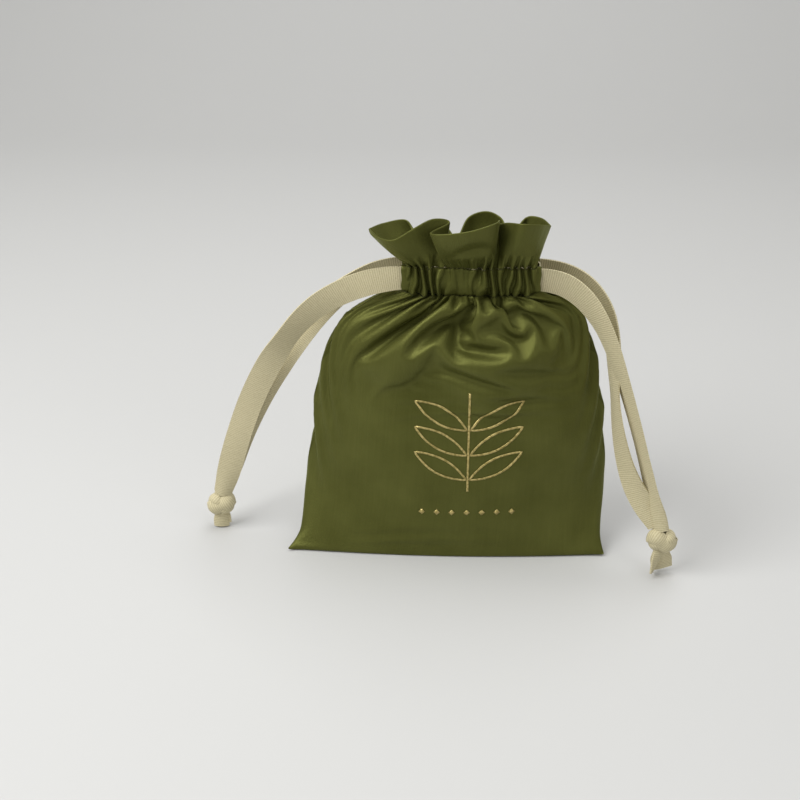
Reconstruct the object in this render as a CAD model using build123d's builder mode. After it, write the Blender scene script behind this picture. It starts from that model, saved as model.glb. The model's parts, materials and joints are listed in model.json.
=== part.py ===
"""Satin drawstring gift sack: two sewn panels, a gathered neck casing, a flared header and two ribbon drawstrings.

The frame stands in the middle of the sack's base: +X to the right of its front, -Y to the front, +Z up, in mm.
Cloth is drawn as plain walls. Each ribbon runs as a loop in the casing, and leaves it at one side as two tails.
"""
from build123d import *
from math import radians, tan
import os

# Cloth and heights
CLOTH = 1.0
BODY_HEIGHT = 111.5
CASING_HEIGHT = 11.0
HEADER_HEIGHT = 20.0
CASING_TOP = BODY_HEIGHT + CASING_HEIGHT
SPLIT_REACH = 200.0

# Outer sections: height, middle in x, width, depth, corner radius
BODY_SECTIONS = [
    (0.0, 0.0, 130.0, 35.0, 7.0),
    (8.0, 2.1, 123.4, 38.6, 12.0),
    (25.0, 3.4, 121.8, 40.0, 16.0),
    (42.0, 4.2, 120.6, 40.0, 17.0),
    (56.0, 4.4, 118.4, 38.6, 17.0),
    (70.0, 4.2, 114.6, 36.0, 16.0),
    (84.0, 3.7, 110.2, 31.0, 14.0),
    (94.0, 3.6, 104.0, 26.5, 12.5),
    (101.5, 5.5, 93.0, 23.0, 11.0),
    (107.0, 8.0, 76.0, 20.5, 9.8),
    (BODY_HEIGHT, 7.5, 51.0, 19.0, 9.0),
]
HEADER_SECTIONS = [
    (CASING_TOP, 7.5, 50.0, 19.0, 9.0),
    (CASING_TOP + 6.0, 7.0, 54.0, 21.5, 10.0),
    (CASING_TOP + 13.0, 5.5, 61.0, 25.0, 11.5),
    (CASING_TOP + HEADER_HEIGHT, 4.0, 70.0, 29.0, 13.5),
]

# The seam between the panels: down the sides, then forward to the front bottom edge, as (y, z)
SIDE_SEAM_FOOT = 28.0
SEAM_BEND = (-12.0, 6.0)
SEAM_EXIT = (-30.0, -6.0)
SEAM_ALLOWANCE = 5.0
SEAM_CLEAR = 0.2
SEAM_THICK = 1.0
BOTTOM_SEAM_LENGTH = 112.0
BOTTOM_SEAM_Y = -13.0

# Casing: each side is a flat channel, straight at its mouths and bowed out in the middle
NECK_X = 7.5
NECK_HALF = 24.5
MOUTH_RUN = 17.0
BOW_RISE = 3.5
LANE_Y = 4.5
BOW_Y = 9.5
BOW_RADIUS = 3.0
CHANNEL_GAP = 2.4
CHANNEL_WALL = 0.8
CHANNEL_LIP = 0.4
THREAD = 0.5

# Ribbon
RIBBON_WIDTH = 10.0
RIBBON_THICK = 0.6
RIBBON_Z = BODY_HEIGHT + CASING_HEIGHT / 2
LEAD_SHIFT = 0.6
LEAD_LENGTH = 16.0
LEAD_STANDS_OUT = 1.2
LOOP_SHIFT = -0.45
LOOP_THICK = 0.9
LOOP_WIDTH = 4.7
LOOP_TURN = 2.4
LOOP_TURN_RADIUS = 1.8
LOOP_GAP = 0.2
JOINT_GAP = 0.3
ARC_SHARE = 0.45
PIVOT_OUT = LEAD_STANDS_OUT + JOINT_GAP + RIBBON_WIDTH / 2
LEAD_Y = LANE_Y + LEAD_SHIFT
LEFT_PIVOT_X = NECK_X - NECK_HALF - PIVOT_OUT
RIGHT_PIVOT_X = NECK_X + NECK_HALF + PIVOT_OUT

# Tail routes, from the mouth to the top of the knot, laid out by hand
LEFT_FRONT_ROUTE = [
    (LEFT_PIVOT_X, -LEAD_Y, RIBBON_Z),
    (-39.5, -4.5, 111.9),
    (-54.5, -3.8, 102.3),
    (-68.0, -2.9, 84.3),
    (-77.9, -2.3, 65.2),
    (-85.0, -1.7, 46.0),
    (-90.5, -1.1, 27.0),
    (-93.6, -0.8, 15.9),
]
LEFT_BACK_ROUTE = [
    (LEFT_PIVOT_X, LEAD_Y, RIBBON_Z),
    (-37.5, 4.6, 110.8),
    (-50.0, 3.6, 100.8),
    (-62.5, 2.6, 84.0),
    (-73.5, 1.8, 66.0),
    (-82.5, 1.3, 48.0),
    (-89.8, 1.0, 29.5),
    (-94.2, 0.8, 15.9),
]
RIGHT_FRONT_ROUTE = [
    (RIGHT_PIVOT_X, -LEAD_Y, RIBBON_Z),
    (48.5, -8.5, 112.8),
    (56.5, -12.0, 103.2),
    (62.2, -15.2, 91.0),
    (67.5, -18.2, 76.0),
    (72.5, -21.0, 60.5),
    (77.0, -24.0, 45.0),
    (80.6, -26.6, 32.5),
    (83.8, -28.8, 20.8),
]
RIGHT_BACK_ROUTE = [
    (RIGHT_PIVOT_X, LEAD_Y, RIBBON_Z),
    (50.5, 4.2, 113.2),
    (58.6, 0.2, 105.0),
    (62.4, -4.8, 93.5),
    (63.2, -9.8, 81.0),
    (64.2, -14.0, 68.0),
    (66.4, -17.8, 55.0),
    (70.2, -20.8, 42.0),
    (75.6, -23.8, 31.8),
    (82.6, -26.8, 22.0),
]
LEFT_KNOT = (-94.6, 0.0, 11.5)
RIGHT_KNOT = (85.2, -28.0, 16.0)
LEFT_FOOT = 0.3
RIGHT_FOOT = 1.5
KNOT_HALF_HEIGHT = 3.7
KNOT_RINGS = [(-1.0, 7.0, 3.8), (-0.35, 10.6, 6.2), (0.35, 10.8, 6.4), (1.0, 7.6, 4.2)]
KNOT_END_TOP_WIDTH = 6.0
KNOT_END_WIDTH = 10.0
KNOT_END_SLANT = 1.6
KNOT_END_SPREAD = 0.9

# Foil print on the front panel
PRINT_X = 8.0
PRINT_Z = 54.0
PRINT_LIFT = 0.1
PRINT_THICK = 0.25
PRINT_LINE = 0.85
STEM_HEIGHT = 44.0
LEAF_PAIRS = 3
LEAF_LENGTH = 25.0
LEAF_WIDTH = 7.6
LEAF_TILT = 30.0
LEAF_PITCH = 11.0
LEAF_FOOT = 5.0
LEAF_TIP = 2.4
ROW_Z = 22.0
ROW_COUNT = 7
ROW_PITCH = 6.0
ROW_DIAMOND = 2.6


def form_through(sections, inset, floor):
    """The solid form through the sections, drawn in by inset, with nothing of it below floor."""
    with BuildPart() as form:
        for height, middle, width, depth, corner in sections:
            with BuildSketch(Plane.XY.offset(max(height, floor))):
                with Locations((middle, 0)):
                    RectangleRounded(width - 2 * inset, depth - 2 * inset, corner - inset)
        loft()
    return form.part


def front_region():
    """Everything in front of the seam surface, as a block."""
    with BuildPart() as region:
        with BuildSketch(Plane.YZ):
            with BuildLine():
                Polyline(
                    (0, SPLIT_REACH),
                    (0, SIDE_SEAM_FOOT),
                    SEAM_BEND,
                    SEAM_EXIT,
                    (-SPLIT_REACH, SEAM_EXIT[1]),
                    (-SPLIT_REACH, SPLIT_REACH),
                    close=True,
                )
            make_face()
        extrude(amount=SPLIT_REACH, both=True)
    return region.part


def channel_points(side, shift):
    """Plan line of one casing channel, left to right; side is -1 in front and 1 behind, shift is outward."""
    lane = side * (LANE_Y + shift)
    bow = side * (BOW_Y + shift)
    left, right = NECK_X - NECK_HALF, NECK_X + NECK_HALF
    return [
        (left, lane),
        (left + MOUTH_RUN, lane),
        (left + MOUTH_RUN + BOW_RISE, bow),
        (right - MOUTH_RUN - BOW_RISE, bow),
        (right - MOUTH_RUN, lane),
        (right, lane),
    ]


def band(points, radius, thick, low, high):
    """An upright strip of cloth or ribbon that follows a plan line, from low to high."""
    with BuildPart() as strip:
        with BuildSketch(Plane.XY.offset(low)):
            with BuildLine():
                FilletPolyline(*points, radius=radius)
            trace(line_width=thick)
        extrude(amount=high - low)
    return strip.part


def casing(name, side):
    """One side's channel: two walls joined above and below, and open at both mouths."""
    points = channel_points(side, 0.0)
    width = CHANNEL_GAP + 2 * CHANNEL_WALL
    walls = band(points, BOW_RADIUS, width, BODY_HEIGHT, CASING_TOP)
    hollow = band(points, BOW_RADIUS, CHANNEL_GAP, BODY_HEIGHT + CHANNEL_LIP, CASING_TOP - CHANNEL_LIP)
    with BuildPart() as channel:
        add(walls)
        add(hollow, mode=Mode.SUBTRACT)
    save(channel, name)


def stitch_row(name, side, low):
    """One row of thread along a casing's outer face."""
    points = channel_points(side, 0.0)
    width = CHANNEL_GAP + 2 * CHANNEL_WALL
    covered = band(points, BOW_RADIUS, width + 2 * THREAD, low, low + THREAD)
    cloth = band(points, BOW_RADIUS, width, low, low + THREAD)
    with BuildPart() as both_faces:
        add(covered)
        add(cloth, mode=Mode.SUBTRACT)
    outermost = 0 if side < 0 else -1
    with BuildPart() as thread:
        add(both_faces.solids().sort_by(Axis.Y)[outermost])
    save(thread, name)


def ribbon_loop(name, mirrored, low):
    """The part of one ribbon that stays in the casing: forward channel, turn at the far mouth, back channel."""
    front = channel_points(-1, LOOP_SHIFT)
    turn_x = NECK_X + NECK_HALF + LOOP_TURN
    lane = LANE_Y + LOOP_SHIFT
    points = front[:-1] + [(turn_x, -lane), (turn_x, lane)] + channel_points(1, LOOP_SHIFT)[-2::-1]
    if mirrored:
        points = [(2 * NECK_X - x, y) for x, y in points]
    strip = band(points, LOOP_TURN_RADIUS, LOOP_THICK, low, low + LOOP_WIDTH)
    with BuildPart() as loop:
        add(strip)
    save(loop, name)


def ribbon_leads(name, side):
    """The two straight ends of one ribbon that slide in the casing's mouths; side is -1 left and 1 right."""
    middle = NECK_X + side * (NECK_HALF + LEAD_STANDS_OUT - LEAD_LENGTH / 2)
    with BuildPart() as leads:
        with Locations((middle, -LEAD_Y, RIBBON_Z), (middle, LEAD_Y, RIBBON_Z)):
            Box(LEAD_LENGTH, RIBBON_THICK, RIBBON_WIDTH)
    save(leads, name)


def arc_radii(name, route):
    """The largest arc that the runs beside each point allow, printed for the route."""
    points = [Vector(*p) for p in route]
    radii = []
    for before, here, after in zip(points, points[1:], points[2:]):
        turn = (here - before).get_angle(after - here)
        shorter = min((here - before).length, (after - here).length)
        radii.append(ARC_SHARE * shorter / tan(radians(turn / 2)))
    print(name, "arc radii, mm:", [round(r, 1) for r in radii])
    return radii


def tail(name, route):
    """One ribbon tail: a flat strip along the route, with a round end at the mouth, where it swings."""
    with BuildLine() as line:
        FilletPolyline(*route, radius=arc_radii(name, route))
    path = line.wire()
    start, along = path @ 0, path % 0
    flat = Vector(0, 1, 0)
    with BuildPart() as strip:
        with BuildSketch(Plane(start, x_dir=flat, z_dir=along)):
            Rectangle(RIBBON_THICK, RIBBON_WIDTH)
        sweep(path=path)
        with Locations(Plane(start, z_dir=flat)):
            Cylinder(RIBBON_WIDTH / 2, RIBBON_THICK)
    section = RIBBON_THICK * RIBBON_WIDTH
    print(name, "length", round(path.length, 1), "mm, volume over section", round(strip.part.volume / section, 1))
    save(strip, name)


def knot(name, middle):
    """One overhand knot, as a plain rounded form."""
    x, y, z = middle
    with BuildPart() as form:
        for share, width, depth in KNOT_RINGS:
            with BuildSketch(Plane.XY.offset(z + share * KNOT_HALF_HEIGHT)):
                with Locations((x, y)):
                    Ellipse(width / 2, depth / 2)
        loft()
    save(form, name)


def knot_ends(name, middle, foot):
    """The two short cut ends below a knot, from just under it down to foot."""
    x, y, z = middle
    top = z - KNOT_HALF_HEIGHT - JOINT_GAP
    with BuildPart() as ends:
        for side in (-1, 1):
            with BuildSketch(Plane.XZ.offset(-y - side * KNOT_END_SPREAD)):
                with BuildLine():
                    Polyline(
                        (x - KNOT_END_TOP_WIDTH / 2, top),
                        (x + KNOT_END_TOP_WIDTH / 2, top),
                        (x + KNOT_END_WIDTH / 2 + side, foot + KNOT_END_SLANT * (1 + side) / 2),
                        (x - KNOT_END_WIDTH / 2 + side, foot + KNOT_END_SLANT * (1 - side) / 2),
                        close=True,
                    )
                make_face()
            extrude(amount=RIBBON_THICK / 2, both=True)
    save(ends, name)


def side_seam(name, side):
    """The turned-in seam allowance down one side, just inside the wall."""
    with BuildPart() as seam:
        with Locations((side * SPLIT_REACH / 2, 0, SIDE_SEAM_FOOT)):
            Box(SPLIT_REACH, SEAM_THICK, SPLIT_REACH, align=(Align.CENTER, Align.CENTER, Align.MIN))
        add(seam_outer, mode=Mode.INTERSECT)
        add(seam_inner, mode=Mode.SUBTRACT)
    save(seam, name)


def leaf_outline():
    """One leaf of the print, as a thin outline between two arcs, with its foot at the origin."""
    inner_foot = (LEAF_TIP, 0)
    inner_point = (LEAF_LENGTH - LEAF_TIP, 0)
    inner_bulge = LEAF_WIDTH / 2 - PRINT_LINE
    with BuildSketch() as leaf:
        with BuildLine():
            ThreePointArc((0, 0), (LEAF_LENGTH / 2, LEAF_WIDTH / 2), (LEAF_LENGTH, 0))
            ThreePointArc((LEAF_LENGTH, 0), (LEAF_LENGTH / 2, -LEAF_WIDTH / 2), (0, 0))
        make_face()
        with BuildLine():
            ThreePointArc(inner_foot, (LEAF_LENGTH / 2, inner_bulge), inner_point)
            ThreePointArc(inner_point, (LEAF_LENGTH / 2, -inner_bulge), inner_foot)
        make_face(mode=Mode.SUBTRACT)
    return leaf.sketch


def print_on_front(name, motif):
    """A motif in the XZ plane, laid on the front panel as a thin foil."""
    with BuildPart() as foil:
        extrude(motif, amount=SPLIT_REACH)
        add(foil_outer, mode=Mode.INTERSECT)
        add(foil_inner, mode=Mode.SUBTRACT)
    save(foil, name)


def save(piece, name):
    """Label a finished sub-part and write it."""
    piece.part.label = name
    export_step(piece.part, f"parts/{name}.step")


os.makedirs("parts", exist_ok=True)

# Panels
sack_outer = form_through(BODY_SECTIONS, 0.0, 0.0)
sack_inner = form_through(BODY_SECTIONS, CLOTH, CLOTH)
in_front = front_region()

with BuildPart() as front_panel:
    add(sack_outer)
    add(sack_inner, mode=Mode.SUBTRACT)
    add(in_front, mode=Mode.INTERSECT)
save(front_panel, "front_panel")

with BuildPart() as back_panel:
    add(sack_outer)
    add(sack_inner, mode=Mode.SUBTRACT)
    add(in_front, mode=Mode.SUBTRACT)
save(back_panel, "back_panel")

# Seam allowances
seam_start = CLOTH + SEAM_CLEAR
seam_end = seam_start + SEAM_ALLOWANCE
seam_outer = form_through(BODY_SECTIONS, seam_start, seam_start)
seam_inner = form_through(BODY_SECTIONS, seam_end, seam_end)
side_seam("left_side_seam", -1)
side_seam("right_side_seam", 1)

with BuildPart() as bottom_seam:
    with Locations((0, BOTTOM_SEAM_Y, seam_start + SEAM_THICK / 2)):
        Box(BOTTOM_SEAM_LENGTH, SEAM_ALLOWANCE, SEAM_THICK)
save(bottom_seam, "bottom_seam")

# Header
header_outer = form_through(HEADER_SECTIONS, 0.0, CASING_TOP)
header_inner = form_through(HEADER_SECTIONS, CLOTH, CASING_TOP)
for label, keep in (("front_header", Keep.BOTTOM), ("back_header", Keep.TOP)):
    with BuildPart() as header:
        add(header_outer)
        add(header_inner, mode=Mode.SUBTRACT)
        split(bisect_by=Plane.XZ.offset(0), keep=keep)
    save(header, label)

# Casings and their stitching
for label, facing in (("front", -1), ("back", 1)):
    casing(f"{label}_casing", facing)
    stitch_row(f"{label}_lower_stitches", facing, BODY_HEIGHT)
    stitch_row(f"{label}_upper_stitches", facing, CASING_TOP - THREAD)

# Ribbons in the casing
ribbon_loop("left_ribbon_loop", False, RIBBON_Z + LOOP_GAP)
ribbon_loop("right_ribbon_loop", True, RIBBON_Z - LOOP_GAP - LOOP_WIDTH)
ribbon_leads("left_ribbon_leads", -1)
ribbon_leads("right_ribbon_leads", 1)

# Ribbon tails and knots
tail("left_front_tail", LEFT_FRONT_ROUTE)
tail("left_back_tail", LEFT_BACK_ROUTE)
tail("right_front_tail", RIGHT_FRONT_ROUTE)
tail("right_back_tail", RIGHT_BACK_ROUTE)
knot("left_knot", LEFT_KNOT)
knot("right_knot", RIGHT_KNOT)
knot_ends("left_knot_ends", LEFT_KNOT, LEFT_FOOT)
knot_ends("right_knot_ends", RIGHT_KNOT, RIGHT_FOOT)

# Foil print
foil_outer = form_through(BODY_SECTIONS, -PRINT_LIFT - PRINT_THICK, 0.0)
foil_inner = form_through(BODY_SECTIONS, -PRINT_LIFT, 0.0)
leaf = leaf_outline()

with BuildSketch(Plane.XZ) as sprig:
    with Locations((PRINT_X, PRINT_Z)):
        SlotOverall(STEM_HEIGHT, PRINT_LINE, rotation=90)
    for pair in range(LEAF_PAIRS):
        foot = PRINT_Z - STEM_HEIGHT / 2 + LEAF_FOOT + pair * LEAF_PITCH
        with Locations(
            Location((PRINT_X + PRINT_LINE, foot), LEAF_TILT),
            Location((PRINT_X - PRINT_LINE, foot), 180 - LEAF_TILT),
        ):
            add(leaf)
print_on_front("sprig_print", sprig.sketch)

with BuildSketch(Plane.XZ) as row:
    with Locations((PRINT_X, ROW_Z)):
        with GridLocations(ROW_PITCH, 1, ROW_COUNT, 1):
            RegularPolygon(ROW_DIAMOND / 2, 4)
print_on_front("diamond_row_print", row.sketch)
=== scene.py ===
"""Satin drawstring gift sack: the looks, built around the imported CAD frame.

+Z is up and -Y is the printed front. Lengths are in mm until a piece is built, and then in metres.
"""
import json
import math
import random

import bmesh
import bpy
import numpy as np
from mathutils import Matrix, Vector
from mathutils.bvhtree import BVHTree


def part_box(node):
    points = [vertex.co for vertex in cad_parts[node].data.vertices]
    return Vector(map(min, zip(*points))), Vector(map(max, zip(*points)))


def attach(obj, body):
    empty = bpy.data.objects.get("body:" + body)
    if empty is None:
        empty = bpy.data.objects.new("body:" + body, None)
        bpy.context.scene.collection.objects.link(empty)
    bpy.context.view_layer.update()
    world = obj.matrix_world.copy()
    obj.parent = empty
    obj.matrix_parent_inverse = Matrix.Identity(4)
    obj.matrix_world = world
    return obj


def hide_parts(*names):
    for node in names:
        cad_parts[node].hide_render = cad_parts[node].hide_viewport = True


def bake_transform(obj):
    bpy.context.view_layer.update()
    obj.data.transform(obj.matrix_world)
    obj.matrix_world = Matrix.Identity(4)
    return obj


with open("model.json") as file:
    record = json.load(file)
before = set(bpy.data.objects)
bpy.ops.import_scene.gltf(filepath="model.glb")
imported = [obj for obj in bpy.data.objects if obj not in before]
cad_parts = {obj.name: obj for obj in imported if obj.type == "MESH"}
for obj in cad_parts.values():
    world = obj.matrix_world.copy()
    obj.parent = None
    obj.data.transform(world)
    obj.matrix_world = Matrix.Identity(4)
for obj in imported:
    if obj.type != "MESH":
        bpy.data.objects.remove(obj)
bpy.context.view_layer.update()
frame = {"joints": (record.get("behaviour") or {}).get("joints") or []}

MM = 0.001

# ---------------------------------------------------------------- the cut cloth, in mm
CUT_WIDTH = 130.0
FRONT, BACK = -1, 1
BODY_CUT = {FRONT: 124.0, BACK: 146.0}
CASING_CUT = 11.0
HEADER_CUT = 13.0
COLUMNS = 96
BODY_ROWS = 86
CASING_ROWS = 9
HEADER_ROWS = 22
FIRST_CASING = BODY_ROWS
FIRST_HEADER = BODY_ROWS + CASING_ROWS
ROWS = BODY_ROWS + CASING_ROWS + HEADER_ROWS

# where the CAD frame puts the sack, in mm
casing_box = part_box("front_casing")
NECK_LOW = casing_box[0].z / MM
NECK_HIGH = casing_box[1].z / MM
NECK_LEFT = casing_box[0].x / MM
NECK_RIGHT = casing_box[1].x / MM
NECK_X = (NECK_LEFT + NECK_RIGHT) / 2

# the filled sack: height, left edge, right edge, half depth
FILLED = [
    (0, -65, 65, 19.5), (4, -62.2, 64.4, 19.6), (8, -60.2, 64.0, 19.8), (25, -57.6, 64.2, 20.0),
    (42, -56.4, 64.4, 20.0), (56, -55.2, 63.6, 19.6), (70, -53.6, 61.6, 18.6), (84, -51.8, 58.4, 16.6),
    (93, -49.4, 55.8, 14.4), (98, -46.5, 54.2, 13.0), (102, -40.5, 52.2, 11.8), (106, -30, 48, 10.6),
    (109.5, -20.5, 39, 9.8), (111.5, -17, 32, 9.0),
]
FLOOR_Z = 0.4
CORNER_LIFT = 1.4
OPEN_TOP_Z = 70.0  # the open bag keeps this height's width and depth all the way up
LOW_Z = 40.0  # below this height the rows of cloth curve more widely up to the side seams

# the side seam comes forward to the bottom corner, and the back panel runs under the sack and bends up
SEAM_FOOT = 28.0
SEAM_FORWARD = 17.0
SEAM_FOOT_LENGTH = math.hypot(SEAM_FOOT, SEAM_FORWARD)
FLOOR_RUN = 27.0
FLOOR_BEND = 6.0

# the cloth lies plain up to this length, and bunches above it
PLAIN_LENGTH = 50.0

# the gathered casing in plan, and the header's top edge: place across the cut from -1 to 1, then the point;
# the casing's is measured from its middle, and goes from its left seam to its right
CASING_FRONT = [
    (-1.0, -24.5, 0, 0), (-0.93, -24.5, -4.6, 0), (-0.87, -22.6, -6.9, 0), (-0.6, -15.4, -7.4, 0),
    (-0.3, -7.6, -8.3, 0), (0.0, 0, -8.8, 0), (0.3, 7.6, -8.3, 0), (0.6, 15.4, -7.4, 0),
    (0.87, 22.6, -6.9, 0), (0.93, 24.5, -4.6, 0), (1.0, 24.5, 0, 0),
]
TOP_FRONT = [
    (-1.0, -31, 2, 133), (-0.90, -29, -6.5, 133.5), (-0.78, -21.5, -14.5, 134.8), (-0.66, -14, -11, 138),
    (-0.56, -7, -5.5, 139.8), (-0.47, -1, -3, 138), (-0.37, -8, -13, 137.4), (-0.2, -3.5, -19, 138.8),
    (0.0, 6.5, -20.5, 140.6), (0.2, 15.5, -16, 142), (0.3, 17.5, -8, 140.5), (0.37, 17.2, -0.5, 136.5),
    (0.45, 20.0, -8.5, 139.8), (0.6, 25.5, -14.5, 141.4), (0.8, 32.5, -9.5, 139.4), (1.0, 37, 1, 135.5),
]
TOP_BACK = [
    (-1.0, -31, 2, 133), (-0.82, -26, 10, 132.5), (-0.66, -17, 13, 133), (-0.52, -13, 2.5, 131),
    (-0.38, -7, 12, 132), (-0.22, -2, 11, 131.5), (-0.08, 2, 1.5, 131), (0.06, 6, 12, 134.5),
    (0.22, 13, 14.5, 136.2), (0.38, 19, 12, 134.5), (0.52, 22, 2.5, 132), (0.68, 28, 13, 134.5),
    (0.84, 34, 9.5, 135.5), (1.0, 37, 1, 135.5),
]

# how firmly the cloth is held to the filled shape while it is gathered, from 0 to 1
HOLD_FOOT = 0.9
HOLD_LOW = 0.5
HOLD_UP = 0.2
HOLD_SIDE = 0.6
HOLD_HEADER = 1.0
HOLD_CREASE = 0.4

# the simulation runs at this many times real size
SIM_SCALE = 20.0
GATHER_FRAMES = 34
SETTLE_FRAMES = 14
PRESSURE = 2.0

# the casing's puckers, and how far its inner layer lies behind the outer one
PUCKERS = 15
PUCKER_DEPTH = 1.75
PUCKER_LIFT = 0.45
CHANNEL_DEPTH = 4.2


def smooth(x):
    """0 below 0, 1 above 1, and a soft step between."""
    x = min(1.0, max(0.0, x))
    return x * x * (3 - 2 * x)


def at_height(table, z, column):
    return float(np.interp(z, [row[0] for row in table], [row[column] for row in table]))


def wander(seed, terms):
    """A smooth seeded wobble over the width of the cut."""
    draw = random.Random(seed)
    waves = [(draw.uniform(0.5, 1.5) / k, k, draw.uniform(0, 2 * math.pi)) for k in range(1, terms + 1)]
    return lambda s: sum(a * math.sin(k * s * math.pi + p) for a, k, p in waves)


PHASE_WANDER = {FRONT: wander(3, 5), BACK: wander(8, 5)}
DEPTH_WANDER = {FRONT: wander(5, 6), BACK: wander(9, 6)}


def cut_run(side, j):
    """How far row j is up the cut."""
    if j <= FIRST_CASING:
        return BODY_CUT[side] * j / BODY_ROWS
    if j < FIRST_HEADER:
        return BODY_CUT[side] + CASING_CUT * (j - FIRST_CASING) / (CASING_ROWS - 1)
    return BODY_CUT[side] + CASING_CUT + HEADER_CUT * (j - FIRST_HEADER + 1) / HEADER_ROWS


def seam_point(t):
    """Height and depth of the side seam, t along it from the bottom corner."""
    if t < SEAM_FOOT_LENGTH:
        share = t / SEAM_FOOT_LENGTH
        return FLOOR_Z + (SEAM_FOOT - FLOOR_Z) * share ** 0.9, -SEAM_FORWARD * (1 - share) ** 1.3
    return SEAM_FOOT + (t - SEAM_FOOT_LENGTH), 0.0


def across(s):
    """Place across the width for a place s across the cut: the cloth bunches a little to the sides."""
    return 0.25 * math.sin(s * math.pi / 2) + 0.75 * s


def crown(s):
    """How far the cloth stands out, from 0 at the side seams to 1."""
    return max(math.cos(s * math.pi / 2), 0.0) ** 0.75


def open_bag(side, s, j):
    """Row j of the sack before it is gathered: full width all the way up."""
    seam_z, seam_y = seam_point(cut_run(FRONT, j))
    t = cut_run(side, j)
    if side == FRONT:
        mid_z, mid_y = FLOOR_Z + t, -at_height(FILLED, min(t, OPEN_TOP_Z), 3)
    else:
        arc = FLOOR_BEND * math.pi / 2
        if t < FLOOR_RUN:
            mid_y, mid_z = t - SEAM_FORWARD, FLOOR_Z
        elif t < FLOOR_RUN + arc:
            a = (t - FLOOR_RUN) / FLOOR_BEND
            mid_y = FLOOR_RUN - SEAM_FORWARD + FLOOR_BEND * math.sin(a)
            mid_z = FLOOR_Z + FLOOR_BEND * (1 - math.cos(a))
        else:
            mid_z = FLOOR_Z + FLOOR_BEND + (t - FLOOR_RUN - arc)
            mid_y = at_height(FILLED, min(mid_z, OPEN_TOP_Z), 3)
    low = min(1.0, max(0.0, (LOW_Z - max(mid_z, seam_z)) / LOW_Z))
    z = seam_z + (mid_z - seam_z) * (1 - abs(s) ** (6 - 3 * low))
    y = seam_y + (mid_y - seam_y) * crown(s)
    left, right = (at_height(FILLED, min(z, OPEN_TOP_Z), column) for column in (1, 2))
    return [(left + right) / 2 + (right - left) / 2 * across(s), y, z]


# the two lobes of slack cloth under the neck, in front:
# middle, half width, height of the lowest point, rise to the sides, and how far the lobe stands out
PUFFS = [(-22, 17, 76, 16, 4.8), (19, 24, 64, 27, 5.6)]
PUFF_OVERHANG = 1.15
PUFF_EDGE_SOFTNESS = 5.0
SHOULDER_Z = 92.0
CREASE_X = 4.0
CREASE_HALF_WIDTH = 2.8
CREASE_DEPTH = 5.0
CREASE_LOW = 82.0


def puff_edge(x):
    """The height of the lobes' scalloped lower edge at x."""
    edges = [foot + rise * ((x - middle) / half) ** 2 for middle, half, foot, rise, _ in PUFFS]
    return min(SHOULDER_Z, *edges)


def puffs(x, z):
    """How far the lobes stand out in front, less the crease between them."""
    out = 0.0
    for middle, half, foot, rise, amount in PUFFS:
        u = (x - middle) / half
        if abs(u) < PUFF_OVERHANG:
            edge = foot + rise * u * u
            low_edge = smooth((z - edge) / PUFF_EDGE_SOFTNESS + 0.2)
            out += amount * low_edge * smooth((107 - z) / 22) * (1 - (u / PUFF_OVERHANG) ** 4)
    off_crease = (x - CREASE_X + 0.1 * (110 - z)) / CREASE_HALF_WIDTH
    crease = math.exp(-(off_crease ** 2)) * smooth((z - CREASE_LOW) / 12)
    return out - CREASE_DEPTH * crease


def filled_line(side, s):
    """The line up the filled sack at place s, as points and how far each is along it."""
    points = []
    for z in np.linspace(0, NECK_LOW, 112):
        left, right, depth = (at_height(FILLED, z, k) for k in (1, 2, 3))
        seam_y = -SEAM_FORWARD * max(0.0, 1 - z / SEAM_FOOT) ** 1.3
        x = (left + right) / 2 + (right - left) / 2 * across(s)
        y = seam_y + (side * depth - seam_y) * crown(s)
        if side == FRONT:
            y -= puffs(x, z) * crown(s) ** 0.4
        points.append((x, y, z + (FLOOR_Z + CORNER_LIFT * abs(s) ** 12) * (1 - z / NECK_LOW)))
    if side == BACK:
        x, y, _ = points[0]
        floor = [(x, -SEAM_FORWARD + (y + SEAM_FORWARD) * k / 20, FLOOR_Z) for k in range(20)]
        points = floor + points
    points = np.array(points)
    run = np.r_[0, np.cumsum(np.linalg.norm(np.diff(points, axis=0), axis=1))]
    return points, run


def filled_point(side, line, j):
    """Row j on the filled sack: at its own length low down, and bunched up towards the neck."""
    points, run = line
    t = cut_run(side, j)
    slack = BODY_CUT[side] - run[-1]
    t -= slack * (max(0.0, t - PLAIN_LENGTH) / (BODY_CUT[side] - PLAIN_LENGTH)) ** 2
    return [float(np.interp(t, run, points[:, k])) for k in range(3)]


def along_table(table, s):
    """A smooth curve through the table's points."""
    places = [row[0] for row in table]
    last = len(table) - 1
    k = max(0, min(last - 1, int(np.searchsorted(places, s)) - 1))
    a, b, c, d = (np.array(table[max(0, min(last, k + q))][1:], float) for q in (-1, 0, 1, 2))
    u = (s - places[k]) / (places[k + 1] - places[k])
    return 0.5 * (2 * b + (c - a) * u + (2 * a - 5 * b + 4 * c - d) * u * u + (3 * b - a - 3 * c + d) * u ** 3)


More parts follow.
